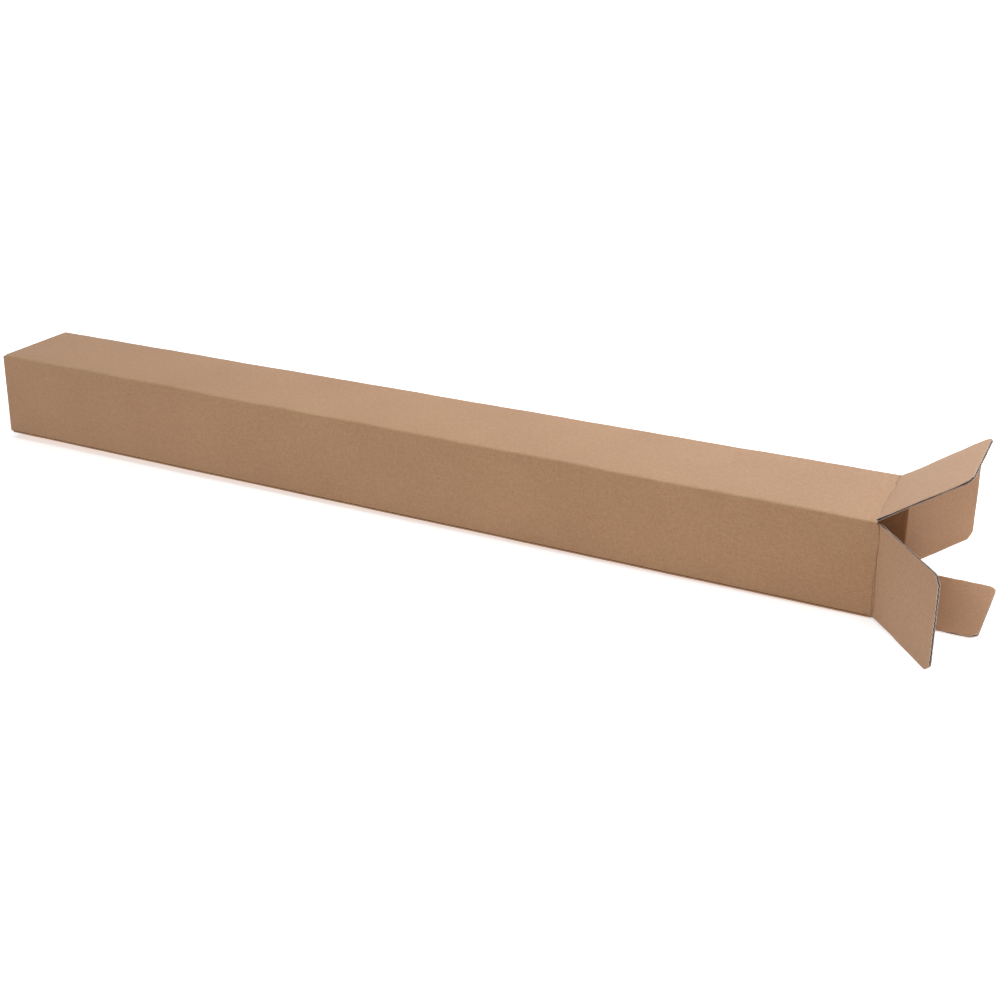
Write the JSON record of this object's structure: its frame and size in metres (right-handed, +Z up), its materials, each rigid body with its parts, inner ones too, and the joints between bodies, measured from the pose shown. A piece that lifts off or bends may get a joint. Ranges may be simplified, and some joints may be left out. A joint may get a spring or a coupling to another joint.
{
  "type": "long square corrugated mailing box with four open end flaps",
  "caption": "Long, nearly square corrugated kraft mailing box, one end glued shut and the other open, with flaps that fold in to close it.",
  "frame": {"origin": "centre of the box's underside, halfway between its closed end and the top flap's crease, on the surface that it lies on", "axes": "+X along the box to its open end, +Y to the back panel, +Z up to the top panel"},
  "size_m": [1.3133, 0.3048, 0.1778],
  "materials": {
    "kraft_board": "uncoated brown kraft liner, matt"
  },
  "bodies": {
    "box": {"box_body": "kraft_board"},
    "top_flap": {"top_flap": "kraft_board"},
    "bottom_flap": {"bottom_flap": "kraft_board"},
    "front_flap": {"front_flap": "kraft_board"},
    "back_flap": {"back_flap": "kraft_board"}
  },
  "joints": [
    {"name": "top_crease", "type": "hinge", "parent": "box", "child": "top_flap", "pos_m": [0.6, 0, 0.1135], "axis": [0, 1, 0], "range_deg": [-55, 125]},
    {"name": "bottom_crease", "type": "hinge", "parent": "box", "child": "bottom_flap", "pos_m": [0.6033, 0, 0.0015], "axis": [0, -1, 0], "range_deg": [0, 90]},
    {"name": "front_crease", "type": "hinge", "parent": "box", "child": "front_flap", "pos_m": [0.6066, -0.0585, 0.0575], "axis": [0, 0, 1], "range_deg": [-42, 138]},
    {"name": "back_crease", "type": "hinge", "parent": "box", "child": "back_flap", "pos_m": [0.6099, 0.0585, 0.0575], "axis": [0, 0, -1], "range_deg": [-29, 151]}
  ]
}
